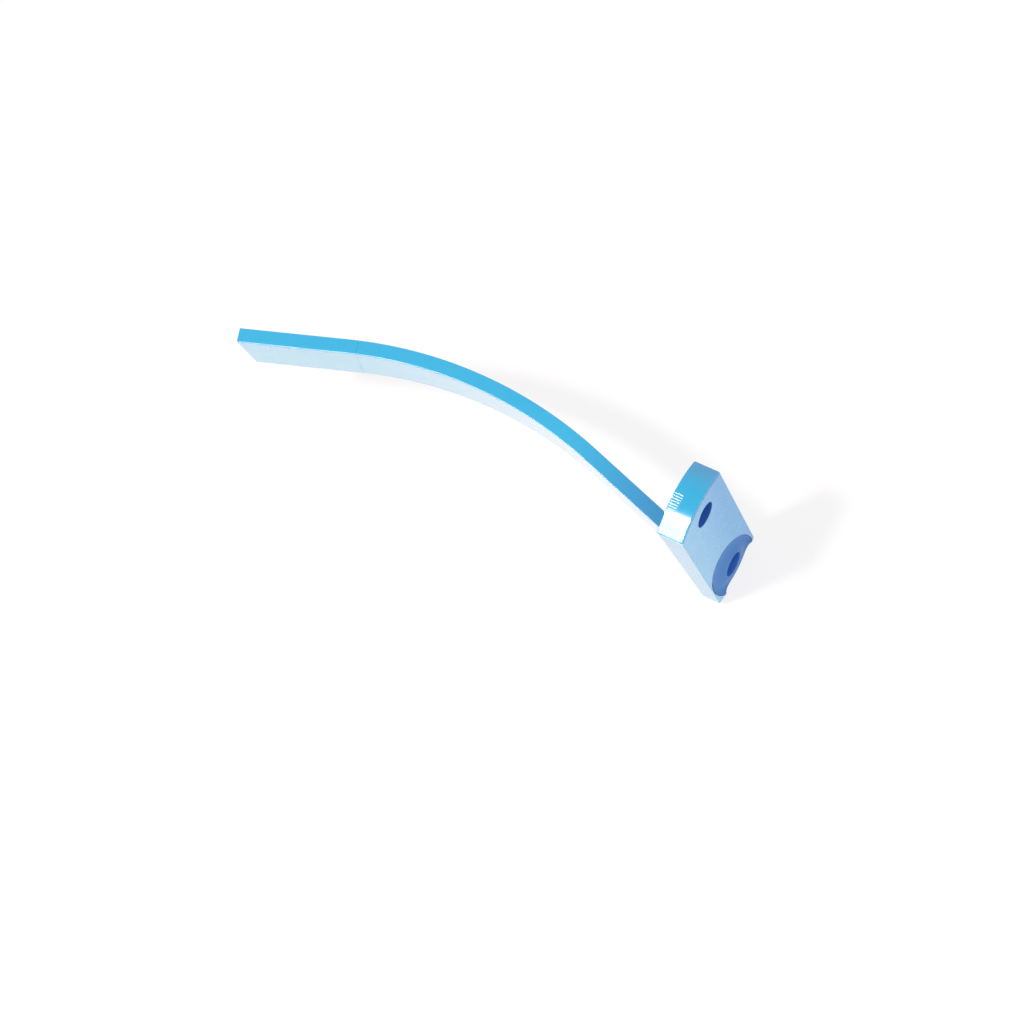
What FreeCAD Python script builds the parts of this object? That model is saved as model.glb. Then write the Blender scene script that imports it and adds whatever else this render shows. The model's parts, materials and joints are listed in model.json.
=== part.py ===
"""Reusable saliva ejector tip: a flat hollow blade on a wedge-shaped head with two ports.

The frame is the hose port: the origin is at its mouth, +X points out of the port, +Z is up
the head, and the blade runs away along -X. All sizes are in millimetres and degrees.
"""
import FreeCAD, Part
import os
from math import cos, radians, sin, sqrt, tan

from FreeCAD import Vector

# ---- Head: a wedge whose two ends are arched --------------------------------------------
head_width = 18.85          # along Y
head_height = 52.9          # between the corners, along Z
arch_rise = 2.64            # how far the middle of each end bows out
head_depth_top = 6.62       # along X, at the upper corners
head_depth_bottom = 4.80    # along X, at the lower corners
edge_round = 0.25
front_wall = 2.8
back_wall = 0.9
side_wall = 1.2
port_radius = 3.25          # for 6.5 mm hose
port_inset = 5.44           # from a port's centre to the nearer corner line

# ---- Hose bush: a sleeve with an oval pad, and its seal ---------------------------------
pad_depth = 1.2
pad_half_width = 8.2
pad_half_height = 14.5
pad_lean = 15.0             # turns the pad's long axis about X
pad_shift = 0.3             # towards the near side
pad_fit = 0.05              # round the pad, in its recess
pad_round = 0.15
bush_wall = 0.7
bush_fit = 0.05             # radial, bush in head
seal_width = 0.95
seal_thickness = 0.35

# ---- Cap, gasket and strainer -----------------------------------------------------------
cap_edge = 0.6              # thickness of the arched cap
plug_clearance = 0.15       # the cap's plug stops this far above the vent's bore
gasket_thickness = 0.2
gasket_fit = 0.03           # above and below the gasket
gasket_setback = 0.1        # the gasket lies behind the outer faces by this
slide_fit = 0.05            # each side, cap plug and strainer in the chamber
groove_count = 7
groove_pitch = 0.65
groove_radius = 0.2
groove_depth = 0.07
groove_length = 2.4
groove_centre = -1.75       # along Y
strainer_level = 14.0       # above the hose port
strainer_thickness = 0.9
strainer_slots = 7
strainer_slot_width = 1.1
strainer_rim = 0.45         # left between a slot and the strainer's long edges

# ---- Blade: straight, arc, straight -----------------------------------------------------
blade_height = 14.2
blade_thickness = 3.6
blade_wall = 0.8
blade_floor = 0.9
cover_thickness = 0.8
rib_depth = 0.3             # the cover's rib between the channel's walls
rib_fit = 0.05              # each side
blade_inset = 1.25          # from the head's near side to the blade, at the head
blade_angle = 17.3          # each straight run's slope against X
root_run = 23.9
bend_radius = 114.5
tip_run = 28.7
tenon_wall = 0.4
tenon_drop = 2.65           # from the blade's top to the tenon's top
tenon_reach = 0.2           # into the chamber
tenon_fit = 0.03

# ---- Joint between blade and pull-off tip, and what they hold ---------------------------
seam_run = 28.7             # from the tip's end to the seam, at the blade's lower edge
seam_lean = 10.0            # the seam slopes back towards the head as it rises
seam_gap = 0.06
sleeve_half_length = 5.0
sleeve_wall = 0.35
sleeve_fit = 0.1            # each side
grille_setback = 0.6
grille_length = 1.2
grille_slots = 4
grille_bar = 1.0
grille_fit = 0.03
bleed_radius = 0.3
bleed_drop = 1.3            # below the blade's top
bleed_runs = (8.6, 13.7)    # from the tip's end
wire_radius = 0.4
wire_fit = 0.05
wire_bed = 0.3              # how deep the wire lies in the channel's floor
wire_end_gap = 0.5

# ---- Places that follow from the sizes above --------------------------------------------
face_x = 0.0                # the front face holds the hose port's mouth
z_low = -port_inset
z_high = z_low + head_height
vent_z = z_high - port_inset
half_width = head_width / 2
arch_radius = (half_width ** 2 + arch_rise ** 2) / (2 * arch_rise)
arch_centre = z_high + arch_rise - arch_radius
body_drop = cap_edge + gasket_thickness + 2 * gasket_fit    # from the cap's arch to the housing's
plug_bottom = vent_z + port_radius + plug_clearance
inner_x = face_x - front_wall
bush_radius = port_radius + bush_wall
seal_radius = bush_radius + seal_width
pad_seat = face_x - pad_depth
seal_seat = pad_seat - seal_thickness
blade_top = z_high
blade_bottom = blade_top - blade_height
lumen_width = blade_thickness - 2 * blade_wall
lumen_bottom = blade_bottom + blade_floor
lumen_top = blade_top - cover_thickness
BIG = 4 * head_height       # larger than anything it cuts
OVER = 1.0                  # how far a cutter runs past what it cuts


def back_x(z):
    """X of the head's leaning back face at height z."""
    share = (z - z_low) / head_height
    return face_x - head_depth_bottom - share * (head_depth_top - head_depth_bottom)


def box(x_from, x_to, y_from, y_to, z_from, z_to):
    """Box between two corners."""
    return Part.makeBox(x_to - x_from, y_to - y_from, z_to - z_from, Vector(x_from, y_from, z_from))


def polygon(points):
    """Flat face through points."""
    return Part.Face(Part.makePolygon(points + points[:1]))


def rod(radius, start, axis, length):
    """Cylinder from a point along an axis."""
    return Part.makeCylinder(radius, length, start, axis)


def end_outline(inset):
    """Outline of the head seen along X, moved in by inset, with both ends arched."""
    side = half_width - inset
    arc = arch_radius - inset
    drop = arch_radius - arch_rise - sqrt(arc ** 2 - side ** 2)
    low, high = z_low + drop, z_high - drop
    crown = arch_rise - inset
    corners = [Vector(0, -side, low), Vector(0, side, low), Vector(0, side, high), Vector(0, -side, high)]
    return Part.Wire([
        Part.Arc(corners[0], Vector(0, 0, z_low - crown), corners[1]).toShape(),
        Part.makeLine(corners[1], corners[2]),
        Part.Arc(corners[2], Vector(0, 0, z_high + crown), corners[3]).toShape(),
        Part.makeLine(corners[3], corners[0]),
    ])


def head_prism(inset):
    """The outline as a thick prism along X, to be cut to a wedge."""
    face = Part.Face(end_outline(inset))
    face.translate(Vector(-BIG / 2, 0, 0))
    return face.extrude(Vector(BIG, 0, 0))


def wedge(front, behind):
    """Everything between the plane x = front and the back face moved forward by behind."""
    z_from, z_to = z_low - head_height, z_high + head_height
    section = polygon([
        Vector(front, -BIG / 2, z_from), Vector(back_x(z_from) + behind, -BIG / 2, z_from),
        Vector(back_x(z_to) + behind, -BIG / 2, z_to), Vector(front, -BIG / 2, z_to),
    ])
    return section.extrude(Vector(0, BIG, 0))


def head_form():
    """Outside of the head, with its four long edges and the rims of its faces eased."""
    form = head_prism(0).common(wedge(face_x, 0))
    return form.makeFillet(edge_round, form.Edges)


def chamber_form(fit):
    """The hollow between front and back wall, smaller by fit on each side."""
    return head_prism(side_wall + fit).common(wedge(inner_x - fit, back_wall + fit))


def neck_form(fit):
    """The chamber's open neck, from the plug's lower end straight up, smaller by fit."""
    side = half_width - side_wall - fit
    return box(-BIG, BIG, -side, side, plug_bottom, BIG).common(wedge(inner_x - fit, back_wall + fit))


def under_arch(drop):
    """Everything below the head's upper arch, moved down by drop."""
    centre = arch_centre - drop
    barrel = rod(arch_radius, Vector(-BIG / 2, 0, centre), Vector(1, 0, 0), BIG)
    return barrel.fuse(box(-BIG / 2, BIG / 2, -half_width - OVER, half_width + OVER, -BIG, centre))


def pad_form(fit, x_from, x_to):
    """Leaning oval prism round the hose port, larger by fit."""
    oval = Part.Ellipse(Vector(0, 0, 0), pad_half_height + fit, pad_half_width + fit).toShape()
    face = Part.Face(Part.Wire([oval]))
    face.rotate(Vector(0, 0, 0), Vector(0, 1, 0), -90)
    face.rotate(Vector(0, 0, 0), Vector(1, 0, 0), pad_lean)
    face.translate(Vector(x_from, -pad_shift, 0))
    return face.extrude(Vector(x_to - x_from, 0, 0))


def slab(z_from, z_to):
    """Everything between two heights."""
    return box(-BIG, BIG, -BIG, BIG, z_from, z_to)


# ---- Blade path in plan -----------------------------------------------------------------
slope = radians(blade_angle)
root_dir = Vector(-cos(slope), sin(slope), 0)
tip_dir = Vector(-cos(slope), -sin(slope), 0)
root_side = Vector(sin(slope), cos(slope), 0)
tip_side = Vector(-sin(slope), cos(slope), 0)
root_x = back_x(blade_top)
root_point = Vector(root_x, -half_width + blade_inset + blade_thickness / 2 / cos(slope), 0)
bend_start = root_point + root_dir * root_run
bend_centre = bend_start - root_side * bend_radius
bend_end = bend_centre + tip_side * bend_radius
tip_point = bend_end + tip_dir * tip_run
root_extra = 2 * head_depth_top    # the band is made longer at the head, then cut


def blade_band(width, z_from, z_to):
    """Upright band of a given width that follows the blade's path."""
    half = width / 2
    outer, inner = bend_radius + half, bend_radius - half
    start = root_point - root_dir * root_extra
    corners = [start + root_side * half, bend_start + root_side * half, bend_end + tip_side * half,
               tip_point + tip_side * half, tip_point - tip_side * half, bend_end - tip_side * half,
               bend_start - root_side * half, start - root_side * half]
    wire = Part.Wire([
        Part.makeLine(corners[0], corners[1]),
        Part.Arc(corners[1], bend_centre + Vector(0, outer, 0), corners[2]).toShape(),
        Part.makeLine(corners[2], corners[3]),
        Part.makeLine(corners[3], corners[4]),
        Part.makeLine(corners[4], corners[5]),
        Part.Arc(corners[5], bend_centre + Vector(0, inner, 0), corners[6]).toShape(),
        Part.makeLine(corners[6], corners[7]),
        Part.makeLine(corners[7], corners[0]),
    ])
    wire.translate(Vector(0, 0, z_from))
    return Part.Face(wire).extrude(Vector(0, 0, z_to - z_from))


def tip_zone(shift):
    """Everything beyond the leaning seam, moved towards the head by shift."""
    rise = tan(radians(seam_lean))

    def at(run, z):
        return tip_point - tip_dir * run + Vector(0, 0, z) - tip_side * (BIG / 2)

    def seam(z):
        return seam_run + shift + rise * (z - blade_bottom)

    z_from, z_to = blade_bottom - blade_height, blade_top + blade_height
    section = polygon([
        at(-tip_run, z_from), at(seam(z_from), z_from), at(seam(z_to), z_to), at(-tip_run, z_to),
    ])
    return section.extrude(tip_side * BIG)


def along_tip(run, z):
    """Point above the blade's path, a given run back from the tip's end."""
    return tip_point - tip_dir * run + Vector(0, 0, z)


def tip_box(run_from, run_to, width, z_from, z_to):
    """Box in line with the blade's tip run."""
    block = Part.makeBox(run_to - run_from, width, z_to - z_from, Vector(run_from, -width / 2, z_from))
    block.rotate(Vector(0, 0, 0), Vector(0, 0, 1), blade_angle)
    block.translate(tip_point)
    return block


# ---- Head parts -------------------------------------------------------------------------
def make_head_body():
    """Open-topped housing with the vent, the recess for the hose bush and the blade's socket."""
    body = head_form().common(under_arch(body_drop)).cut(chamber_form(0)).cut(neck_form(0))
    body = body.cut(pad_form(pad_fit, pad_seat, face_x + OVER))
    out = Vector(1, 0, 0)
    body = body.cut(rod(port_radius, Vector(inner_x - OVER / 2, 0, vent_z), out, front_wall + OVER))
    body = body.cut(rod(bush_radius + bush_fit, Vector(inner_x - OVER / 2, 0, 0), out, front_wall + OVER))
    body = body.cut(rod(seal_radius + bush_fit, Vector(seal_seat, 0, 0), out, front_wall))
    socket = blade_band(lumen_width + 2 * (tenon_wall + tenon_fit), lumen_bottom - tenon_wall - tenon_fit,
                        blade_top - tenon_drop + tenon_fit)
    return body.cut(socket.common(wedge(inner_x - slide_fit, -OVER)))


def make_cap_gasket():
    """Ring between housing and cap that follows their arch, set back from the outside."""
    ring = head_prism(gasket_setback).common(wedge(face_x - gasket_setback, gasket_setback))
    ring = ring.common(under_arch(cap_edge + gasket_fit)).cut(under_arch(body_drop - gasket_fit))
    return ring.cut(neck_form(-slide_fit))


def make_head_cap():
    """Arched cover with a plug that enters the chamber, and grip grooves across its back half."""
    cover = head_form().cut(under_arch(cap_edge))
    plug = neck_form(slide_fit).common(under_arch(cap_edge))
    cap = cover.fuse(plug).removeSplitter()
    for index in range(groove_count):
        y = groove_centre + (index - (groove_count - 1) / 2) * groove_pitch
        z = arch_centre + sqrt(arch_radius ** 2 - y ** 2) + groove_radius - groove_depth
        start = Vector(back_x(z_high) - OVER, y, z)
        groove = rod(groove_radius, start, Vector(1, 0, 0), groove_length + OVER)
        cap = cap.cut(groove)
    return cap


def make_port_bush():
    """Elastic sleeve that the hose pushes into, with the oval pad that seats it."""
    out = Vector(1, 0, 0)
    pad = pad_form(0, pad_seat, face_x).common(head_prism(pad_fit))
    rim = [edge for edge in pad.Edges if edge.CenterOfMass.x > face_x - pad_round]
    pad = pad.makeFillet(pad_round, rim)
    sleeve = rod(bush_radius, Vector(inner_x, 0, 0), out, pad_seat - inner_x)
    bush = sleeve.fuse(pad).removeSplitter()
    return bush.cut(rod(port_radius, Vector(inner_x - OVER, 0, 0), out, front_wall + 2 * OVER))


def make_port_seal():
    """Flat ring under the bush's pad."""
    out = Vector(1, 0, 0)
    ring = rod(seal_radius, Vector(seal_seat, 0, 0), out, seal_thickness)
    return ring.cut(rod(bush_radius, Vector(seal_seat - OVER, 0, 0), out, seal_thickness + 2 * OVER))


def make_chamber_strainer():
    """Slotted plate that wedges across the chamber above the hose port."""
    top = strainer_level + strainer_thickness
    plate = chamber_form(slide_fit).common(slab(strainer_level, top))
    pitch = (head_width - 2 * side_wall) / (strainer_slots + 0.5)
    for index in range(strainer_slots):
        y = (index - (strainer_slots - 1) / 2) * pitch
        x_back = back_x(strainer_level) + back_wall + slide_fit + strainer_rim
        plate = plate.cut(box(x_back, inner_x - slide_fit - strainer_rim, y - strainer_slot_width / 2,
                              y + strainer_slot_width / 2, strainer_level - OVER, top + OVER))
    return plate


# ---- Blade parts ------------------------------------------------------------------------
def outside_head():
    """Everything behind the head's back face."""
    return wedge(-BIG, 0)


def channel_form():
    """Open-topped channel along the whole path, with a groove for the wire in its floor."""
    trough = blade_band(blade_thickness, blade_bottom, lumen_top)
    trough = trough.cut(blade_band(lumen_width, lumen_bottom, BIG))
    wire_groove = 2 * (wire_radius + wire_fit)
    return trough.cut(blade_band(wire_groove, lumen_bottom - wire_bed, lumen_bottom + OVER))


def cover_form():
    """Strip that closes the channel, with its rib between the walls."""
    strip = blade_band(blade_thickness, lumen_top, blade_top)
    return strip.fuse(blade_band(lumen_width - 2 * rib_fit, lumen_top - rib_depth, lumen_top))


def make_blade_channel():
    """Main channel, from its tenon in the head to the seam."""
    trough = channel_form().cut(tip_zone(seam_gap)).common(outside_head())
    tenon = blade_band(lumen_width + 2 * tenon_wall, lumen_bottom - tenon_wall, blade_top - tenon_drop)
    tenon = tenon.cut(blade_band(lumen_width, lumen_bottom, blade_top - tenon_drop - tenon_wall))
    in_wall = wedge(BIG, 0).common(wedge(-BIG, back_wall + tenon_reach))
    return trough.fuse(tenon.common(in_wall)).removeSplitter()


def make_blade_cover():
    """Main cover strip."""
    return cover_form().cut(tip_zone(seam_gap)).common(outside_head()).removeSplitter()


def make_shaping_wire():
    """Soft round wire in the channel's floor that keeps the bend."""
    path = Part.Wire([
        Part.makeLine(root_point, bend_start),
        Part.Arc(bend_start, bend_centre + Vector(0, bend_radius, 0), bend_end).toShape(),
    ])
    section = Part.Wire([Part.makeCircle(wire_radius, root_point, root_dir)])
    wire = path.makePipeShell([section], True)
    wire.translate(Vector(0, 0, lumen_bottom + wire_radius - wire_bed))
    reach = seam_gap + sleeve_half_length + wire_end_gap
    return wire.cut(tip_zone(reach)).common(wedge(-BIG, -wire_end_gap))


def make_joint_sleeve():
    """Thin sleeve across the seam: bonded in the blade, and the tip pushes over it."""
    width = lumen_width - 2 * sleeve_fit
    low, high = lumen_bottom + sleeve_fit, lumen_top - rib_depth - sleeve_fit
    tube = blade_band(width, low, high)
    tube = tube.cut(blade_band(width - 2 * sleeve_wall, low + sleeve_wall, high - sleeve_wall))
    return tube.common(tip_zone(sleeve_half_length)).cut(tip_zone(-sleeve_half_length))


def make_tip_channel():
    """Pull-off end of the channel, with two air-bleed holes in its near wall."""
    channel = channel_form().common(tip_zone(0))
    for run in bleed_runs:
        start = along_tip(run, blade_top - bleed_drop)
        channel = channel.cut(rod(bleed_radius, start, tip_side * -1, blade_thickness))
    return channel


def make_tip_cover():
    """Cover strip of the pull-off end."""
    return cover_form().common(tip_zone(0)).removeSplitter()


def make_tip_grille():
    """Slotted block just inside the open end, which keeps solids out."""
    low, high = lumen_bottom, lumen_top - rib_depth
    width = lumen_width - 2 * grille_fit
    grille = tip_box(grille_setback, grille_setback + grille_length, width, low, high)
    slot = (high - low - (grille_slots + 1) * grille_bar) / grille_slots
    for index in range(grille_slots):
        bottom = low + grille_bar + index * (slot + grille_bar)
        grille = grille.cut(tip_box(-OVER, grille_setback + grille_length + OVER, width - grille_bar, bottom,
                                    bottom + slot))
    return grille


PARTS = {
    "head_body": make_head_body,
    "head_cap": make_head_cap,
    "cap_gasket": make_cap_gasket,
    "port_bush": make_port_bush,
    "port_seal": make_port_seal,
    "chamber_strainer": make_chamber_strainer,
    "blade_channel": make_blade_channel,
    "blade_cover": make_blade_cover,
    "shaping_wire": make_shaping_wire,
    "joint_sleeve": make_joint_sleeve,
    "tip_channel": make_tip_channel,
    "tip_cover": make_tip_cover,
    "tip_grille": make_tip_grille,
}

os.makedirs("parts", exist_ok=True)
for name, make in PARTS.items():
    shape = make()
    shape.exportStep("parts/" + name + ".step")
    extent = shape.BoundBox
    print(f"{name}: {len(shape.Solids)} solid, valid {shape.isValid()}, volume {shape.Volume:.1f}, "
          f"x {extent.XMin:.2f}..{extent.XMax:.2f}, y {extent.YMin:.2f}..{extent.YMax:.2f}, "
          f"z {extent.ZMin:.2f}..{extent.ZMax:.2f}")
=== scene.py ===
"""Looks of a reusable saliva ejector tip: a curved hollow blade on a wedge-shaped two-port head.

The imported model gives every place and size. The swept and carved pieces here stand for the
moulded parts, with the eased edges, soft pad and fine surface that the mould gives them.
"""

import json
import logging
import math
from collections.abc import Callable
from dataclasses import dataclass
from enum import Enum

import bmesh
import bpy
from bmesh.types import BMEdge, BMesh, BMFace, BMVert
from mathutils import Matrix, Vector

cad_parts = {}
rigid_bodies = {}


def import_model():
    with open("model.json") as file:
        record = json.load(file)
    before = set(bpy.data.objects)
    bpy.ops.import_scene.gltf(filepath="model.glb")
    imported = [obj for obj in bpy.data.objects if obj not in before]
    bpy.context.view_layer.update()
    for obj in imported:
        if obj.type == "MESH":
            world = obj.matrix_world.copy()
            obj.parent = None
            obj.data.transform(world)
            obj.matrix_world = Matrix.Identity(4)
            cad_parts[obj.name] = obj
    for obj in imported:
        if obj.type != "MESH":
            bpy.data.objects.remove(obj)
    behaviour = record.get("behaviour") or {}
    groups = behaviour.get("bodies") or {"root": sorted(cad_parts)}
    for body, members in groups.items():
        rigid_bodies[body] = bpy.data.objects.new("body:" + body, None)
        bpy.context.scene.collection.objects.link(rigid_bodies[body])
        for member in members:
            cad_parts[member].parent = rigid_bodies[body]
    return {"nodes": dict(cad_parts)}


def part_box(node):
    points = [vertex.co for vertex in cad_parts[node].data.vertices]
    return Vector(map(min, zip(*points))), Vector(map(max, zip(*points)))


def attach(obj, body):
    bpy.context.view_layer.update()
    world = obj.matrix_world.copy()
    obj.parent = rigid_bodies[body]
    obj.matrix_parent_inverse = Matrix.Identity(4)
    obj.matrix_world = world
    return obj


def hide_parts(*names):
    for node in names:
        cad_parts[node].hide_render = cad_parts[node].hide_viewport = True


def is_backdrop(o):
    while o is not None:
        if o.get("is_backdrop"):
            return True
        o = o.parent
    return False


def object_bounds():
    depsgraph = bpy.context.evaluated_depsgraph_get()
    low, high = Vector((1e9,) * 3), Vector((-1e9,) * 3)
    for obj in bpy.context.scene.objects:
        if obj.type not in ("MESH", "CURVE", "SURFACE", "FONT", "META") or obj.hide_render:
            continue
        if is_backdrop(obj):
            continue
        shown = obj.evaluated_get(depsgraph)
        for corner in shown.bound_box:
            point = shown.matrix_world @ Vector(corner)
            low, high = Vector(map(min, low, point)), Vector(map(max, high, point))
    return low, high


MM = 0.001
OUT = Vector((1, 0, 0))             # Out of the head's front face.
SMOOTH_ANGLE = math.radians(35.0)   # Edges sharper than this stay sharp.
EASE_FACES = 3                      # Faces across a rounded edge.
ALONG_AXIS = 0.9                    # Cosine above which a direction counts as along an axis.
WELD = 1e-7                         # Points nearer than this, in metres, are one.
ON_PLANE = 1e-8                     # How near a cutting plane a point counts as on it.
SAME_LEVEL = 1e-6                   # How near a height a point counts as at it.
NOISE_LOW, NOISE_HIGH = 0.3, 0.7    # What a noise pattern mostly keeps between.
log = logging.getLogger("ejector_tip")


class Body(Enum):
    """The bodies that move apart from each other."""

    HEAD = "head_and_blade"
    CAP = "cap"
    BUSH = "hose_bush"
    TIP = "tip"


class Slot(Enum):
    """The record's material slots."""

    HEAD = "head_plastic"
    BLADE = "blade_plastic"
    BUSH = "bush_rubber"


class Join(Enum):
    """What a shape does to the piece that it meets."""

    CUT = "DIFFERENCE"
    ADD = "UNION"
    KEEP = "INTERSECT"


# ---- Finishes ---------------------------------------------------------------------------
class NodeSketch:
    """Adds and joins shader nodes in one material."""

    def __init__(self, name: str) -> None:
        """Start an empty material.

        Args:
            name: The material's name.
        """
        self.material = bpy.data.materials.new(name)
        self.material.use_nodes = True
        self.tree = self.material.node_tree
        self.tree.nodes.clear()

    def add(self, kind: str, inputs: dict | None = None, **settings: object) -> bpy.types.Node:
        """Add a node.

        Args:
            kind: The node's type name.
            inputs: Socket name or number to a value, or to an output socket to join.
            **settings: The node's own properties.

        Returns:
            The new node.
        """
        node = self.tree.nodes.new(kind)
        for key, value in settings.items():
            setattr(node, key, value)
        for key, value in (inputs or {}).items():
            if isinstance(value, bpy.types.NodeSocket):
                self.tree.links.new(value, node.inputs[key])
            else:
                node.inputs[key].default_value = value
        return node

    def noise(self, scale: float, detail: float,
              stretch: tuple[float, float, float] = (1, 1, 1)) -> bpy.types.NodeSocket:
        """Add a noise pattern in object space.

        Args:
            scale: Cells per metre.
            detail: Octaves of finer noise.
            stretch: Scale of the pattern along each axis.

        Returns:
            The noise factor's socket.
        """
        place = self.add("ShaderNodeTexCoord").outputs["Object"]
        mapped = self.add("ShaderNodeMapping", {"Vector": place, "Scale": stretch}).outputs["Vector"]
        node = self.add("ShaderNodeTexNoise", {"Vector": mapped, "Scale": scale, "Detail": detail})
        return node.outputs["Fac"]

    def ramp(self, factor: bpy.types.NodeSocket, low: float, high: float) -> bpy.types.NodeSocket:
        """Spread a factor from its usual noise range to two values.

        Args:
            factor: The socket to read.
            low: Value at the noise's low end.
            high: Value at the noise's high end.

        Returns:
            The mapped value's socket.
        """
        inputs = {"Value": factor, "From Min": NOISE_LOW, "From Max": NOISE_HIGH,
                  "To Min": low, "To Max": high}
        return self.add("ShaderNodeMapRange", inputs).outputs["Result"]

    def along(self, axis: tuple[float, float, float], start: float, end: float) -> bpy.types.NodeSocket:
        """Add a factor that grows from 0 to 1 along an axis in object space.

        Args:
            axis: The axis.
            start: Where it is 0, in metres.
            end: Where it is 1, in metres.

        Returns:
            The factor's socket.
        """
        place = self.add("ShaderNodeTexCoord").outputs["Object"]
        reach = self.add("ShaderNodeVectorMath", {0: place, 1: axis}, operation="DOT_PRODUCT")
        inputs = {"Value": reach.outputs["Value"], "From Min": start, "From Max": end}
        return self.add("ShaderNodeMapRange", inputs, interpolation_type="SMOOTHSTEP").outputs["Result"]

    def blend(self, factor: bpy.types.NodeSocket, first: tuple | bpy.types.NodeSocket,
              second: tuple) -> bpy.types.NodeSocket:
        """Blend two colours.

        Args:
            factor: The blend's socket.
            first: Colour at 0, or a socket that gives it.
            second: Colour at 1.

        Returns:
            The colour's socket.
        """
        start = first if isinstance(first, bpy.types.NodeSocket) else (*first, 1)
        node = self.add("ShaderNodeMix", {0: factor, 6: start, 7: (*second, 1)}, data_type="RGBA")
        return node.outputs[2]

    def bump(self, height: bpy.types.NodeSocket, distance: float, strength: float) -> bpy.types.NodeSocket:
        """Turn a height into a surface normal.

        Args:
            height: The height's socket.
            distance: Height of the relief in metres.
            strength: Share of the relief that shows.

        Returns:
            The normal's socket.
        """
        inputs = {"Height": height, "Distance": distance, "Strength": strength}
        return self.add("ShaderNodeBump", inputs).outputs["Normal"]

    def finish(self, shader: bpy.types.Node) -> bpy.types.Material:
        """Join the shader to the output.

        Args:
            shader: The last shader node.

        Returns:
            The material.
        """
        self.add("ShaderNodeOutputMaterial", {"Surface": shader.outputs[0]})
        return self.material


@dataclass(frozen=True)
class MouldedPlastic:
    """Polished moulded plastic with faint flow marks, a clear skin and painted shade: a darker blue
    blended in towards one end along an axis.
    """

    name: str
    colour: tuple[float, float, float]
    flow_colour: tuple[float, float, float]
    # Painted shade: the darker blue, the axis, and where along it (metres) the blend starts and is full.
    tint_and_painted_shade: tuple[float, float, float]
    painted_shade_axis: tuple[float, float, float]
    painted_shade_start: float
    painted_shade_end: float
    roughness: float = 0.16
    coat: float = 1.0
    coat_roughness: float = 0.06
    flow_scale: float = 90.0
    flow_stretch: tuple[float, float, float] = (0.35, 1, 1)
    peel_scale: float = 1400.0
    peel_height: float = 0.004 * MM
    peel_strength: float = 0.35
    refraction: float = 1.58
    glow_weight: float = 0.12
    glow_depth: float = 2.0 * MM

    def build(self) -> bpy.types.Material:
        """Make the material and return it."""
        sketch = NodeSketch(self.name)
        flow = sketch.noise(self.flow_scale, 3, self.flow_stretch)
        colour = sketch.blend(sketch.ramp(flow, 0, 1), self.colour, self.flow_colour)
        # Painted shade: blend to the darker blue along the axis.
        painted_shade_share = sketch.along(self.painted_shade_axis, self.painted_shade_start, self.painted_shade_end)
        colour = sketch.blend(painted_shade_share, colour, self.tint_and_painted_shade)
        handling = sketch.noise(self.flow_scale * 4, 4)
        rough = sketch.ramp(handling, self.roughness * 0.8, self.roughness * 1.25)
        peel = sketch.bump(sketch.noise(self.peel_scale, 2), self.peel_height, self.peel_strength)
        shader = sketch.add("ShaderNodeBsdfPrincipled", {
            "Base Color": colour, "Roughness": rough, "Normal": peel, "IOR": self.refraction,
            "Coat Weight": self.coat, "Coat Roughness": self.coat_roughness,
            "Coat IOR": self.refraction,
            "Subsurface Weight": self.glow_weight, "Subsurface Scale": self.glow_depth,
        })
        return sketch.finish(shader)


@dataclass(frozen=True)
class SoftRubber:
    """Matte silicone with fine grain and a trace of bloom."""

    name: str
    colour: tuple[float, float, float]
    bloom: tuple[float, float, float]
    grain_scale: float = 9000.0
    grain_height: float = 0.01 * MM
    sheen: float = 0.2

    def build(self) -> bpy.types.Material:
        """Make the material and return it."""
        sketch = NodeSketch(self.name)
        cloud = sketch.ramp(sketch.noise(500, 4), 0, 0.5)
        colour = sketch.blend(cloud, self.colour, self.bloom)
        grain = sketch.bump(sketch.noise(self.grain_scale, 2), self.grain_height, 0.6)
        shader = sketch.add("ShaderNodeBsdfPrincipled", {
            "Base Color": colour, "Roughness": sketch.ramp(sketch.noise(1500, 2), 0.5, 0.7),
            "Normal": grain, "Sheen Weight": self.sheen,
        })
        return sketch.finish(shader)


@dataclass(frozen=True)
class MattePlastic:
    """Pale plastic with an etched surface."""

    name: str
    colour: tuple[float, float, float]
    stain: tuple[float, float, float]
    etch_scale: float = 6000.0
    etch_height: float = 0.01 * MM
    glow_weight: float = 0.1
    glow_depth: float = 1.0 * MM

    def build(self) -> bpy.types.Material:
        """Make the material and return it."""
        sketch = NodeSketch(self.name)
        cloud = sketch.ramp(sketch.noise(350, 4), 0, 1)
        colour = sketch.blend(cloud, self.colour, self.stain)
        etch = sketch.bump(sketch.noise(self.etch_scale, 3), self.etch_height, 0.5)
        shader = sketch.add("ShaderNodeBsdfPrincipled", {
            "Base Color": colour, "Roughness": sketch.ramp(sketch.noise(1200, 3), 0.38, 0.55),
            "Normal": etch, "Subsurface Weight": self.glow_weight,
            "Subsurface Scale": self.glow_depth,
        })
        return sketch.finish(shader)


@dataclass(frozen=True)
class DrawnWire:
    """Soft metal wire with drawing marks along X."""

    name: str
    colour: tuple[float, float, float]
    dull: tuple[float, float, float]
    mark_scale: float = 2500.0
    mark_stretch: tuple[float, float, float] = (0.06, 1, 1)
    mark_height: float = 0.01 * MM

    def build(self) -> bpy.types.Material:
        """Make the material and return it."""
        sketch = NodeSketch(self.name)
        marks = sketch.noise(self.mark_scale, 4, self.mark_stretch)
        colour = sketch.blend(sketch.ramp(marks, 0, 1), self.colour, self.dull)
        shader = sketch.add("ShaderNodeBsdfPrincipled", {
            "Base Color": colour, "Metallic": 1.0, "Roughness": sketch.ramp(marks, 0.22, 0.4),
            "Normal": sketch.bump(marks, self.mark_height, 0.5),
        })
        return sketch.finish(shader)


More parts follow.
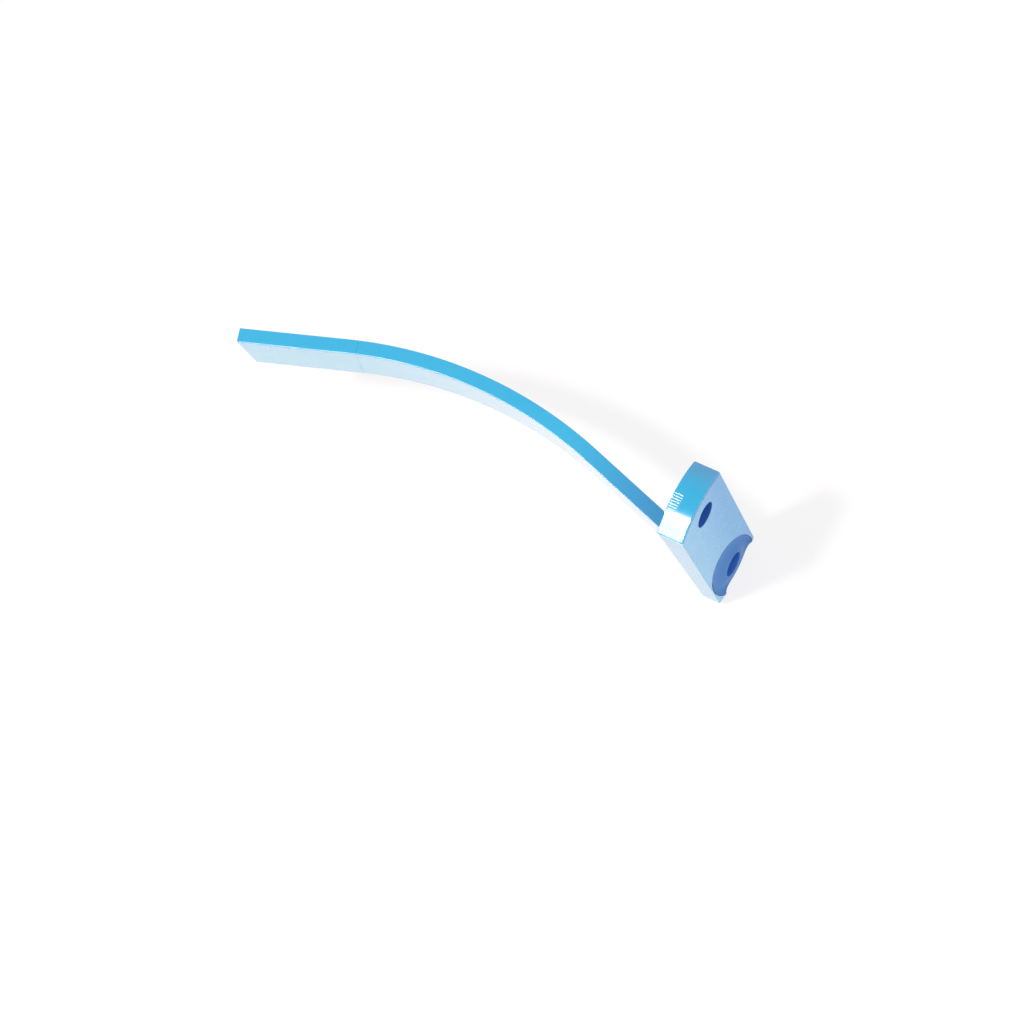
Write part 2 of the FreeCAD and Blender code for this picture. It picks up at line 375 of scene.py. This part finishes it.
# ---- Mesh helpers -----------------------------------------------------------------------
def make_piece(name: str, mesh: BMesh) -> bpy.types.Object:
    """Turn a bmesh into an object at the origin, smooth but for its corners.

    Args:
        name: The piece's name.
        mesh: Its mesh, freed afterwards.

    Returns:
        The new object.
    """
    data = bpy.data.meshes.new(name)
    mesh.to_mesh(data)
    mesh.free()
    data.shade_smooth()
    data.set_sharp_from_angle(angle=SMOOTH_ANGLE)
    piece = bpy.data.objects.new(name, data)
    bpy.context.scene.collection.objects.link(piece)
    return piece


def corner_edges(mesh: BMesh, least: float) -> list[BMEdge]:
    """Find the edges where the surface turns.

    Args:
        mesh: The mesh to search.
        least: Smallest turn in degrees.

    Returns:
        The edges.
    """
    limit = math.radians(least)
    return [edge for edge in mesh.edges
            if len(edge.link_faces) == 2 and edge.calc_face_angle() > limit]


def ease(mesh: BMesh, edges: list[BMEdge], width: float) -> None:
    """Round edges off.

    Args:
        mesh: The mesh to change.
        edges: The edges to round.
        width: Width of the rounding in metres.
    """
    bmesh.ops.bevel(mesh, geom=edges, offset=width, offset_type="OFFSET", segments=EASE_FACES,
                    profile=0.5, affect="EDGES", material=-1, clamp_overlap=True)


def rod_mesh(radius: float, start: Vector, axis: Vector, length: float, sides: int = 96) -> BMesh:
    """Make a closed cylinder.

    Args:
        radius: Its radius.
        start: Centre of its first end.
        axis: Its direction.
        length: Its length.
        sides: Faces round it.

    Returns:
        The cylinder.
    """
    mesh = bmesh.new()
    turn = Vector((0, 0, 1)).rotation_difference(axis).to_matrix().to_4x4()
    place = Matrix.Translation(start + axis.normalized() * (length / 2)) @ turn
    bmesh.ops.create_cone(mesh, cap_ends=True, segments=sides, radius1=radius, radius2=radius,
                          depth=length, matrix=place)
    return mesh


def combine(piece: bpy.types.Object, tools: list[BMesh], how: Join) -> None:
    """Cut, add or intersect closed shapes with a piece.

    Args:
        piece: The piece to change in place.
        tools: The shapes, freed afterwards.
        how: What each shape does to the piece.
    """
    for number, shape in enumerate(tools):
        tool = make_piece(f"{piece.name}_tool_{number}", shape)
        step = piece.modifiers.new("combine", "BOOLEAN")
        step.operation = how.value
        step.solver = "EXACT"
        step.object = tool
        bpy.context.view_layer.update()
        joined = piece.evaluated_get(bpy.context.evaluated_depsgraph_get())
        result = bpy.data.meshes.new_from_object(joined)
        piece.modifiers.clear()
        old, tool_mesh = piece.data, tool.data
        piece.data = result
        result.name = piece.name
        bpy.data.objects.remove(tool)
        bpy.data.meshes.remove(old)
        bpy.data.meshes.remove(tool_mesh)
    piece.data.shade_smooth()
    piece.data.set_sharp_from_angle(angle=SMOOTH_ANGLE)


def refinish(piece: bpy.types.Object, finish: bpy.types.Material,
             chosen: Callable[[bpy.types.MeshPolygon], bool]) -> None:
    """Give some faces of a dressed piece a finish of their own.

    Args:
        piece: The dressed piece.
        finish: The finish of the chosen faces.
        chosen: Says whether a face takes it.
    """
    piece.data.materials.append(finish)
    index = len(piece.data.materials) - 1
    for face in piece.data.polygons:
        if chosen(face):
            face.material_index = index


def trim(mesh: BMesh, point: Vector, normal: Vector, keep_front: bool) -> None:
    """Cut a solid with a plane, keep one side and close it.

    Args:
        mesh: The solid to cut.
        point: A point on the plane.
        normal: The plane's normal.
        keep_front: True keeps the side that the normal points to.
    """
    cut = bmesh.ops.bisect_plane(mesh, geom=mesh.verts[:] + mesh.edges[:] + mesh.faces[:],
                                 dist=ON_PLANE, plane_co=point, plane_no=normal,
                                 clear_outer=not keep_front, clear_inner=keep_front)
    rim = [item for item in cut["geom_cut"] if isinstance(item, BMEdge)]
    bmesh.ops.edgeloop_fill(mesh, edges=rim)
    bmesh.ops.recalc_face_normals(mesh, faces=mesh.faces)


def dress(piece: bpy.types.Object, finish: bpy.types.Material, body: Body, slot: Slot,
          *nodes: str) -> None:
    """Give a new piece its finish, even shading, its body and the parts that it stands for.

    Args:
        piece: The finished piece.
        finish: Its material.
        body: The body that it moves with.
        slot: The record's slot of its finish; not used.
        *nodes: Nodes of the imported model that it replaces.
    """
    piece.data.materials.clear()
    piece.data.materials.append(finish)
    flat = piece.modifiers.new("flat_faces", "WEIGHTED_NORMAL")
    flat.keep_sharp = True
    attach(piece, body.value)
    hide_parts(*nodes)
    log.info("%s: %d faces, for %s", piece.name, len(piece.data.polygons), ", ".join(nodes))


def repaint(node: bpy.types.Object, finish: bpy.types.Material) -> None:
    """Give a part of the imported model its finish, and report it.

    Args:
        node: The part's object.
        finish: Its material.
    """
    node.data.materials.clear()
    node.data.materials.append(finish)
    log.info("%s: kept, %s", node.name, finish.name)


# ---- Blade ------------------------------------------------------------------------------
@dataclass
class Blade:
    """Curved hollow blade: a channel and a cover strip, each in a main and a pull-off part."""

    finish: bpy.types.Material
    # Paler blue of the channel: painted reflection of the white table.
    painted_reflection_finish: bpy.types.Material
    head_back: tuple[Vector, Vector]
    thickness: float = 3.6 * MM
    wall: float = 0.8 * MM
    floor: float = 0.9 * MM
    rib_depth: float = 0.3 * MM
    rib_fit: float = 0.05 * MM
    angle: float = math.radians(17.3)
    root_run: float = 23.9 * MM
    bend_radius: float = 114.5 * MM
    tip_run: float = 28.7 * MM
    root_extra: float = 6.0 * MM
    seam_run: float = 28.7 * MM
    seam_lean: float = math.radians(10.0)
    seam_gap: float = 0.045 * MM
    bend_steps: int = 56
    edge_width: float = 0.16 * MM
    corner_angle: float = 40.0
    bleed_radius: float = 0.3 * MM
    bleed_sides: int = 32
    bleed_drop: float = 1.3 * MM
    bleed_runs: tuple[float, float] = (8.6 * MM, 13.7 * MM)

    def __post_init__(self) -> None:
        """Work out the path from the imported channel's place."""
        low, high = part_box("tip_channel")
        cover_low, cover_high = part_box("tip_cover")
        self.bottom, self.rim, self.top = low.z, high.z, cover_high.z
        slope = self.angle
        self.root_dir = Vector((-math.cos(slope), math.sin(slope), 0))
        self.tip_dir = Vector((-math.cos(slope), -math.sin(slope), 0))
        self.root_side = Vector((math.sin(slope), math.cos(slope), 0))
        self.tip_side = Vector((-math.sin(slope), math.cos(slope), 0))
        half = self.thickness / 2
        tip_x = low.x + half * math.sin(slope)
        tip_y = cover_low.y + half * math.cos(slope)
        self.tip_point = Vector((tip_x, tip_y, 0))
        self.bend_end = self.tip_point - self.tip_dir * self.tip_run
        self.centre = self.bend_end - self.tip_side * self.bend_radius
        self.bend_start = self.centre + self.root_side * self.bend_radius
        self.root_point = self.bend_start - self.root_dir * self.root_run

    def seam_plane(self, shift: float) -> tuple[Vector, Vector]:
        """Place the leaning seam.

        Args:
            shift: How far it moves towards the head.

        Returns:
            A point on it, and its normal towards the tip.
        """
        point = self.tip_point - self.tip_dir * (self.seam_run + shift) + Vector((0, 0, self.bottom))
        normal = self.tip_dir * math.cos(self.seam_lean) + Vector((0, 0, math.sin(self.seam_lean)))
        return point, normal

    def sweep(self, outline: list[tuple[float, float]], of_tip: bool) -> BMesh:
        """Sweep a cross-section along the path, then keep one side of the seam, behind the head.

        Args:
            outline: Points across the blade, as (offset to the far side, height).
            of_tip: True for the pull-off part, False for the main one.

        Returns:
            The closed solid with its long edges eased.
        """
        mesh = bmesh.new()
        start = self.root_point - self.root_dir * self.root_extra
        corners = [mesh.verts.new(start + self.root_side * across + Vector((0, 0, up)))
                   for across, up in outline]
        end: list[BMFace] = [mesh.faces.new(corners)]
        end = self.push(mesh, end, self.root_dir * (self.root_run + self.root_extra))
        turned = bmesh.ops.spin(mesh, geom=end, cent=self.centre, axis=(0, 0, 1), angle=2 * self.angle,
                                steps=self.bend_steps, use_merge=False, use_normal_flip=False,
                                use_duplicate=False)
        end = [item for item in turned["geom_last"] if isinstance(item, BMFace)]
        self.push(mesh, end, self.tip_dir * self.tip_run)
        inner = [face for face in mesh.faces if all(len(edge.link_faces) > 2 for edge in face.edges)]
        bmesh.ops.delete(mesh, geom=inner, context="FACES_ONLY")
        bmesh.ops.remove_doubles(mesh, verts=mesh.verts, dist=WELD)
        bmesh.ops.recalc_face_normals(mesh, faces=mesh.faces)
        ease(mesh, corner_edges(mesh, self.corner_angle), self.edge_width)
        trim(mesh, *self.seam_plane(0 if of_tip else self.seam_gap), keep_front=of_tip)
        if not of_tip:
            trim(mesh, *self.head_back, keep_front=False)
        return mesh

    def push(self, mesh: BMesh, faces: list[BMFace], step: Vector) -> list[BMFace]:
        """Extrude faces along a straight step.

        Args:
            mesh: The mesh to change.
            faces: The faces to push.
            step: How far and which way.

        Returns:
            The faces at the far end.
        """
        made = bmesh.ops.extrude_face_region(mesh, geom=faces, use_keep_orig=True)
        moved = [item for item in made["geom"] if isinstance(item, BMVert)]
        bmesh.ops.translate(mesh, verts=moved, vec=step)
        return [item for item in made["geom"] if isinstance(item, BMFace)]

    def channel_outline(self) -> list[tuple[float, float]]:
        """Return the open-topped channel's cross-section."""
        half, inner = self.thickness / 2, self.thickness / 2 - self.wall
        bed = self.bottom + self.floor
        return [(-half, self.bottom), (half, self.bottom), (half, self.rim), (inner, self.rim),
                (inner, bed), (-inner, bed), (-inner, self.rim), (-half, self.rim)]

    def cover_outline(self) -> list[tuple[float, float]]:
        """Return the cover strip's cross-section, with its rib."""
        half = self.thickness / 2
        rib = half - self.wall - self.rib_fit
        return [(-half, self.rim), (-rib, self.rim), (-rib, self.rim - self.rib_depth),
                (rib, self.rim - self.rib_depth), (rib, self.rim), (half, self.rim),
                (half, self.top), (-half, self.top)]

    def bleed_cutters(self) -> list[BMesh]:
        """Return the shapes of the two air-bleed holes in the near wall."""
        height = Vector((0, 0, self.top - self.bleed_drop))
        return [rod_mesh(self.bleed_radius, self.tip_point - self.tip_dir * run + height,
                         -self.tip_side, self.thickness, self.bleed_sides)
                for run in self.bleed_runs]

    def build(self) -> None:
        """Make and dress the four moulded parts of the blade."""
        parts = (("blade_channel_moulding", self.channel_outline(), False, "blade_channel"),
                 ("blade_cover_moulding", self.cover_outline(), False, "blade_cover"),
                 ("tip_channel_moulding", self.channel_outline(), True, "tip_channel"),
                 ("tip_cover_moulding", self.cover_outline(), True, "tip_cover"))
        for name, outline, of_tip, node in parts:
            piece = make_piece(name, self.sweep(outline, of_tip))
            if node == "tip_channel":
                combine(piece, self.bleed_cutters(), Join.CUT)
            # The channel takes the paler blue of the painted reflection.
            finish = self.painted_reflection_finish if "channel" in node else self.finish
            dress(piece, finish, Body.TIP if of_tip else Body.HEAD, Slot.BLADE, node)


# ---- Head -------------------------------------------------------------------------------
@dataclass
class Head:
    """Wedge-shaped head: housing, arched cap with grip grooves, and hose bush with an oval pad."""

    finish: bpy.types.Material
    # Front faces: paler blue as painted reflection, darker towards +Y as painted shade.
    front_painted_light_finish: bpy.types.Material
    # The pad's matte rubber; its darker blue is painted shade round the port.
    bush_painted_shade_finish: bpy.types.Material
    # Darker blue for inside faces and bores: painted shade in the hollows.
    hollow_shade: bpy.types.Material
    arch_rise: float = 2.64 * MM
    corner_height: float = 52.9 * MM
    port_inset: float = 5.44 * MM
    depth_top: float = 6.62 * MM
    depth_bottom: float = 4.80 * MM
    back_wall: float = 0.9 * MM
    side_wall: float = 1.2 * MM
    port_radius: float = 3.25 * MM
    bush_wall: float = 0.7 * MM
    bush_fit: float = 0.05 * MM
    seal_width: float = 0.95 * MM
    pad_depth: float = 1.2 * MM
    pad_half_width: float = 8.2 * MM
    pad_half_height: float = 14.5 * MM
    pad_lean: float = math.radians(15)
    pad_shift: float = 0.3 * MM
    pad_fit: float = 0.05 * MM
    pad_round: float = 0.15 * MM
    dip_depth: float = 0.8 * MM
    dip_skew: float = 0.7
    dip_steps: int = 20
    mouth_round: float = 0.3 * MM
    spin_steps: int = 128
    cap_edge: float = 0.6 * MM
    parting_gap: float = 0.26 * MM
    plug_clearance: float = 0.15 * MM
    slide_fit: float = 0.05 * MM
    edge_width: float = 0.28 * MM
    grid: float = 0.3 * MM
    over: float = 1.0 * MM
    slack: float = 0.05 * MM
    groove_count: int = 7
    groove_pitch: float = 0.65 * MM
    groove_radius: float = 0.2 * MM
    groove_depth: float = 0.07 * MM
    groove_length: float = 2.4 * MM
    groove_centre: float = -1.75 * MM
    groove_sides: int = 24

    def __post_init__(self) -> None:
        """Read the head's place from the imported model."""
        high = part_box("head_body")[1]
        self.face_x, self.half = high.x, high.y
        self.inner_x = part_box("port_bush")[0].x
        self.seal_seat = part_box("port_seal")[0].x
        self.pad_seat = self.face_x - self.pad_depth
        self.bush_radius = self.port_radius + self.bush_wall
        self.low = -self.port_inset
        self.high = self.low + self.corner_height
        self.vent_z = self.high - self.port_inset
        self.plug_bottom = self.vent_z + self.port_radius + self.plug_clearance
        self.along = Vector((0, -math.sin(self.pad_lean), math.cos(self.pad_lean)))
        self.across = Vector((0, math.cos(self.pad_lean), math.sin(self.pad_lean)))

    def arch(self, y: float) -> float:
        """Return how far an end bows out at a place across the head."""
        radius = (self.half ** 2 + self.arch_rise ** 2) / (2 * self.arch_rise)
        return math.sqrt(max(radius ** 2 - y ** 2, 0)) - radius + self.arch_rise

    def back_x(self, z: float) -> float:
        """Return where the leaning back face is at a height."""
        share = (z - self.low) / self.corner_height
        return self.face_x - self.depth_bottom - share * (self.depth_top - self.depth_bottom)

    def back_plane(self) -> tuple[Vector, Vector]:
        """Return a point on the back face, and its normal into the head."""
        point = Vector((self.back_x(self.low), 0, self.low))
        normal = Vector((self.corner_height, 0, self.depth_top - self.depth_bottom)).normalized()
        return point, normal

    def block(self, levels: tuple[float, float], bows: tuple[float, float], inset: float, front: float,
              behind: float, edges: float = 0.0, sharp_level: float | None = None) -> BMesh:
        """Make a block bent to the head's wedge and to the arch of its ends.

        Args:
            levels: Its lower and upper level, at the corners.
            bows: Share of the arch, upwards, at its lower and upper end.
            inset: From the head's sides to its own.
            front: X of its front face.
            behind: From the head's back face to its own.
            edges: Width of its eased edges.
            sharp_level: The level whose edges stay sharp, as at a parting.

        Returns:
            The closed block.
        """
        mesh = bmesh.new()
        bmesh.ops.create_cube(mesh, size=1)
        low, high = levels
        depth, half = self.depth_top, self.half - inset
        bmesh.ops.scale(mesh, verts=mesh.verts, vec=(depth, 2 * half, high - low))
        bmesh.ops.translate(mesh, verts=mesh.verts, vec=(front - depth / 2, 0, (low + high) / 2))
        if edges:
            eased = [edge for edge in mesh.edges if sharp_level is None
                     or any(abs(vert.co.z - sharp_level) > SAME_LEVEL for vert in edge.verts)]
            ease(mesh, eased, edges)
        lines = [edge for edge in mesh.edges
                 if abs((edge.verts[1].co - edge.verts[0].co).y) > ALONG_AXIS * edge.calc_length()
                 and edge.calc_length() > 2 * self.grid]
        bmesh.ops.subdivide_edges(mesh, edges=lines, cuts=int(2 * half / self.grid),
                                  use_grid_fill=True)
        for vert in mesh.verts:
            share = (vert.co.z - low) / (high - low)
            vert.co.z += self.arch(vert.co.y) * (bows[0] + share * (bows[1] - bows[0]))
            back = self.back_x(vert.co.z) + behind
            vert.co.x = front - (front - vert.co.x) / depth * (front - back)
        return mesh

    def pad_cutter(self) -> BMesh:
        """Return the shape of the oval recess that the pad lies in."""
        width, height = self.pad_half_width + self.pad_fit, self.pad_half_height + self.pad_fit
        mesh = rod_mesh(width, OUT * self.pad_seat, OUT, self.pad_depth + self.over, self.spin_steps)
        for vert in mesh.verts:
            oval = self.across * vert.co.y + self.along * (vert.co.z * height / width)
            vert.co = Vector((vert.co.x, oval.y - self.pad_shift, oval.z))
        return mesh

    def build_housing(self) -> None:
        """Make the housing with its ports, recess, chamber and seats."""
        top = self.high - self.cap_edge - self.parting_gap
        mesh = self.block((self.low, top), (-1, 1), 0, self.face_x, 0, self.edge_width, top)
        piece = make_piece("head_housing", mesh)
        back = self.inner_x - self.over / 2
        reach = self.face_x - back + self.over
        above = self.high + self.arch_rise + self.over
        chamber = self.block((self.low + self.side_wall, above), (-1, 0), self.side_wall, self.inner_x,
                             self.back_wall)
        seal = self.bush_radius + self.seal_width + self.bush_fit
        combine(piece, [chamber, self.pad_cutter(),
                        rod_mesh(self.port_radius, Vector((back, 0, self.vent_z)), OUT, reach),
                        rod_mesh(self.bush_radius + self.bush_fit, OUT * back, OUT, reach),
                        rod_mesh(seal, OUT * self.seal_seat, OUT, reach)], Join.CUT)
        dress(piece, self.finish, Body.HEAD, Slot.HEAD, "head_body")
        # Inside faces and the vent bore take the darker blue of the painted shade.
        refinish(piece, self.hollow_shade, lambda face: self.in_chamber(face.center))
        # Front faces take the paler blue of the painted reflection and shade.
        refinish(piece, self.front_painted_light_finish, self.on_front)

    def on_front(self, face: bpy.types.MeshPolygon) -> bool:
        """Say whether a face is part of the head's front."""
        return face.normal.x > ALONG_AXIS and face.center.x > self.face_x - self.edge_width

    def in_chamber(self, place: Vector) -> bool:
        """Say whether a place on the housing is inside it or in the vent's bore."""
        behind = self.back_x(place.z) + self.back_wall - self.slack
        return (behind < place.x < self.face_x - self.mouth_round
                and abs(place.y) < self.half - self.side_wall + self.slack)

    def build_cap(self) -> None:
        """Make the arched cap with its plug and grip grooves."""
        seat, fit = self.high - self.cap_edge, self.slide_fit
        lid = self.block((seat, self.high), (1, 1), 0, self.face_x, 0, self.edge_width, seat)
        piece = make_piece("head_cap_moulding", lid)
        plug = self.block((self.plug_bottom, seat + self.cap_edge / 2), (0, 1), self.side_wall + fit,
                          self.inner_x - fit, self.back_wall + fit)
        combine(piece, [plug], Join.ADD)
        grooves = []
        reach = self.groove_length + self.over
        for index in range(self.groove_count):
            y = self.groove_centre + (index - (self.groove_count - 1) / 2) * self.groove_pitch
            z = self.high + self.arch(y) + self.groove_radius - self.groove_depth
            start = Vector((self.back_x(self.high) - self.over, y, z))
            grooves.append(rod_mesh(self.groove_radius, start, OUT, reach, self.groove_sides))
        combine(piece, grooves, Join.CUT)
        dress(piece, self.finish, Body.CAP, Slot.HEAD, "head_cap")
        # Front faces take the paler blue of the painted reflection and shade.
        refinish(piece, self.front_painted_light_finish, self.on_front)

    def bush_profile(self) -> list[tuple[float, float]]:
        """Return the bush's section as (x, radius), from its inner end round the pad to its mouth."""
        rim = self.pad_half_width
        section = [(self.inner_x, self.port_radius), (self.inner_x, self.bush_radius),
                   (self.pad_seat, self.bush_radius), (self.pad_seat, rim),
                   (self.face_x - self.pad_round, rim)]
        for step in range(self.dip_steps + 1):
            share = step / self.dip_steps
            radius = rim - self.pad_round - (rim - self.pad_round - self.bush_radius) * share
            dip = self.dip_depth * math.sin(math.pi * share ** self.dip_skew)
            section.append((self.face_x - dip, radius))
        mouth = self.mouth_round
        section += [(self.face_x, self.port_radius + mouth),
                    (self.face_x - mouth / 4, self.port_radius + mouth / 4),
                    (self.face_x - mouth, self.port_radius)]
        return section

    def build_bush(self) -> None:
        """Spin the bush, draw its rim out to the leaning oval, and trim the pad to the head's outline."""
        section = self.bush_profile()
        mesh = bmesh.new()
        ring = mesh.faces.new([mesh.verts.new((x, 0, radius)) for x, radius in section])
        bmesh.ops.spin(mesh, geom=[ring], cent=(0, 0, 0), axis=OUT, angle=2 * math.pi,
                       steps=self.spin_steps, use_merge=True, use_normal_flip=False, use_duplicate=False)
        inner = [face for face in mesh.faces if len(face.verts) == len(section)]
        bmesh.ops.delete(mesh, geom=inner, context="FACES_ONLY")
        bmesh.ops.remove_doubles(mesh, verts=mesh.verts, dist=WELD)
        bmesh.ops.recalc_face_normals(mesh, faces=mesh.faces)
        for vert in mesh.verts:
            around = Vector((0, vert.co.y, vert.co.z))
            radius = around.length
            share = (radius - self.bush_radius) / (self.pad_half_width - self.bush_radius)
            if share > 0:
                around.normalize()
                oval = (self.across * (around.dot(self.across) * self.pad_half_width)
                        + self.along * (around.dot(self.along) * self.pad_half_height)
                        - Vector((0, self.pad_shift, 0)))
                place = around * (self.bush_radius * (1 - share)) + oval * share
                vert.co = Vector((vert.co.x, place.y, place.z))
        piece = make_piece("hose_bush_moulding", mesh)
        outline = self.block((self.low + self.pad_fit, self.high), (-1, 1), self.pad_fit, self.face_x,
                             0, self.edge_width)
        combine(piece, [outline], Join.KEEP)
        # The pad's darker blue is painted shade round the port.
        dress(piece, self.bush_painted_shade_finish, Body.BUSH, Slot.BUSH, "port_bush")
        bore = self.port_radius + self.slack
        # The bore takes the darker blue of the painted shade.
        refinish(piece, self.hollow_shade, lambda face: face.center.yz.length < bore)

    def build(self) -> None:
        """Make and dress the head's moulded parts."""
        self.build_housing()
        self.build_cap()
        self.build_bush()


# ---- Studio -----------------------------------------------------------------------------
@dataclass(frozen=True)
class Lamp:
    """A soft round lamp that faces the object."""

    name: str
    direction: tuple[float, float, float]
    size: float
    power: float

    def build(self, aim: tuple[float, float, float], distance: float) -> bpy.types.Object:
        """Make the lamp and turn it to the object.

        Args:
            aim: The point that it faces.
            distance: How far away it stands.

        Returns:
            The lamp.
        """
        data = bpy.data.lights.new(self.name, "AREA")
        data.shape, data.size, data.energy = "DISK", self.size, self.power
        lamp = bpy.data.objects.new(self.name, data)
        away = Vector(self.direction)
        lamp.location = Vector(aim) + away.normalized() * distance
        lamp.rotation_euler = away.to_track_quat("Z", "Y").to_euler()
        bpy.context.scene.collection.objects.link(lamp)
        return lamp


@dataclass
class Studio:
    """White table, soft key from the upper left, and the camera above."""

    aim: tuple[float, float, float] = (-0.0409, -0.0187, 0.045)
    distance: float = 0.546
    azimuth: float = -23.58
    elevation: float = 67.8
    roll: float = -39.94
    lens: float = 82.5
    key: Lamp = Lamp("key", (-0.23, -0.335, 1.0), 0.09, 4.3)
    softbox: Lamp = Lamp("softbox", (-0.355, -0.685, 0.634), 1.0, 22.0)
    fill: Lamp = Lamp("fill", (1.0, 0.1, 0.35), 0.5, 2.1)
    lamp_aim: tuple[float, float, float] = (-0.05, 0, 0.03)
    lamp_distance: float = 0.9
    room_strength: float = 0.48
    table_reach: float = 3.0
    table_glow: float = 0.78

    def set_camera(self) -> None:
        """Place the camera above the table, turned as the view is."""
        climb, round_about = math.radians(self.elevation), math.radians(self.azimuth)
        back = Vector((math.cos(climb) * math.cos(round_about), math.cos(climb) * math.sin(round_about),
                       math.sin(climb)))
        data = bpy.data.cameras.new("camera")
        data.lens = self.lens
        data.clip_start, data.clip_end = 0.01, 20
        camera = bpy.data.objects.new("camera", data)
        turn = back.to_track_quat("Z", "Y").to_matrix().to_4x4()
        twist = Matrix.Rotation(math.radians(self.roll), 4, "Z")
        camera.matrix_world = Matrix.Translation(Vector(self.aim) + back * self.distance) @ turn @ twist
        bpy.context.scene.collection.objects.link(camera)
        bpy.context.scene.camera = camera

    def set_lamps(self) -> None:
        """Add the key, the softbox that only draws the cap's highlight, and a fill for the front."""
        self.key.build(self.lamp_aim, self.lamp_distance)
        self.softbox.build(self.lamp_aim, self.lamp_distance).visible_diffuse = False
        self.fill.build(self.lamp_aim, self.lamp_distance).visible_glossy = False

    def set_world(self) -> None:
        """Light everything softly from a white room."""
        world = bpy.data.worlds.new("room")
        bpy.context.scene.world = world
        world.use_nodes = True
        background = world.node_tree.nodes["Background"]
        background.inputs["Color"].default_value = (1, 1, 1, 1)
        background.inputs["Strength"].default_value = self.room_strength

    def floor_finish(self) -> bpy.types.Material:
        """Return the table's white, which keeps a pale shadow."""
        sketch = NodeSketch("white_table")
        cloud = sketch.ramp(sketch.noise(6, 2), 0, 1)
        tint_and_painted_shade = sketch.blend(cloud, (0.92, 0.93, 0.93), (0.93, 0.94, 0.94))
        plain = sketch.add("ShaderNodeBsdfDiffuse", {"Color": tint_and_painted_shade})
        faint = sketch.add("ShaderNodeBsdfDiffuse", {"Color": (0.26, 0.235, 0.24, 1)})
        glow = sketch.add("ShaderNodeEmission", {"Color": (1, 1, 1, 1), "Strength": self.table_glow})
        seen = sketch.add("ShaderNodeAddShader", {0: faint.outputs[0], 1: glow.outputs[0]})
        rays = sketch.add("ShaderNodeLightPath").outputs
        shown = rays["Is Camera Ray"]
        for kind in ("Is Glossy Ray", "Is Transmission Ray"):
            shown = sketch.add("ShaderNodeMath", {0: shown, 1: rays[kind]}, operation="MAXIMUM").outputs[0]
        both = {0: shown, 1: plain.outputs[0], 2: seen.outputs[0]}
        return sketch.finish(sketch.add("ShaderNodeMixShader", both))

    def set_floor(self, level: float) -> None:
        """Lay the table under the object.

        Args:
            level: The object's lowest point.
        """
        mesh = bmesh.new()
        bmesh.ops.create_grid(mesh, x_segments=8, y_segments=8, size=self.table_reach)
        bmesh.ops.translate(mesh, verts=mesh.verts, vec=(0, 0, level))
        floor = make_piece("table_top", mesh)
        floor.data.materials.append(self.floor_finish())
        floor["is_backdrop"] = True

    def build(self, level: float) -> None:
        """Set camera, light and table.

        Args:
            level: The object's lowest point.
        """
        self.set_camera()
        self.set_world()
        self.set_lamps()
        self.set_floor(level)
        bpy.context.scene.view_settings.view_transform = "Standard"


def main() -> None:
    """Build the whole picture and report each piece."""
    logging.basicConfig(level=logging.INFO, format="%(message)s")
    bpy.ops.object.select_all(action="SELECT")
    bpy.ops.object.delete()
    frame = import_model()
    cad_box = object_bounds()
    Studio().build(cad_box[0][2])

    # Blade blue, with painted shade: darker blue towards the head end.
    blue = MouldedPlastic("sky_blue_plastic", (0.02, 0.46, 0.77), (0.025, 0.48, 0.79),
                          tint_and_painted_shade=(0.03, 0.3, 0.62), painted_shade_axis=(1, 0, 0), painted_shade_start=-0.04, painted_shade_end=-0.005)
    # Paler copy of the blade blue for the channel: painted reflection of the white table on its sides,
    # with painted shade towards the head end.
    pale_reflection_blue = MouldedPlastic("pale_reflection_plastic", (0.35, 0.7, 0.92), (0.38, 0.73, 0.94),
                               tint_and_painted_shade=(0.25, 0.62, 0.88), painted_shade_axis=(1, 0, 0), painted_shade_start=-0.04,
                               painted_shade_end=-0.005)
    # Head blue, with painted shade: darker, greyer blue towards the far side (+Y).
    head_blue = MouldedPlastic("head_blue_plastic", (0.012, 0.45, 0.77), (0.018, 0.47, 0.79),
                               tint_and_painted_shade=(0.09, 0.37, 0.66), painted_shade_axis=(0, 1, 0), painted_shade_start=0.002,
                               painted_shade_end=0.0095, flow_stretch=(1, 1, 0.35))
    # Satin copy of the head blue for the front faces: paler as painted reflection, darker towards +Y as
    # painted shade.
    front_painted_light_blue = MouldedPlastic("head_front_painted_light_plastic", (0.16, 0.5, 0.8), (0.17, 0.51, 0.82),
                               tint_and_painted_shade=(0.03, 0.33, 0.71), painted_shade_axis=(0, 1, 0), painted_shade_start=-0.009,
                               painted_shade_end=0.0095, roughness=0.3, coat=0.35, coat_roughness=0.2,
                               peel_height=0.001 * MM)
    # Matte soft pad; its darker blue is painted shade in the hollow round the port.
    bush_painted_shade_blue = SoftRubber("bush_elastomer_painted_shade", (0.012, 0.17, 0.52), (0.03, 0.21, 0.57))
    # Darker blue for the inside of the chamber, vent bore and bush bore: painted shade in the hollows.
    hollow_shade = MattePlastic("hollow_shade_blue", (0.045, 0.18, 0.64), (0.055, 0.2, 0.68)).build()
    rubber = SoftRubber("seal_rubber", (0.02, 0.16, 0.34), (0.05, 0.22, 0.42)).build()
    pale = MattePlastic("strainer_plastic", (0.75, 0.84, 0.88), (0.68, 0.8, 0.86)).build()
    wire = DrawnWire("soft_wire", (0.7, 0.66, 0.6), (0.5, 0.46, 0.42)).build()

    head = Head(head_blue.build(), front_painted_light_blue.build(), bush_painted_shade_blue.build(), hollow_shade)
    head.build()
    Blade(blue.build(), pale_reflection_blue.build(), head.back_plane()).build()
    kept = {"cap_gasket": rubber, "port_seal": rubber, "chamber_strainer": pale, "joint_sleeve": pale,
            "tip_grille": pale, "shaping_wire": wire}
    for name, finish in kept.items():
        repaint(frame["nodes"][name], finish)


if __name__ == "__main__":
    main()
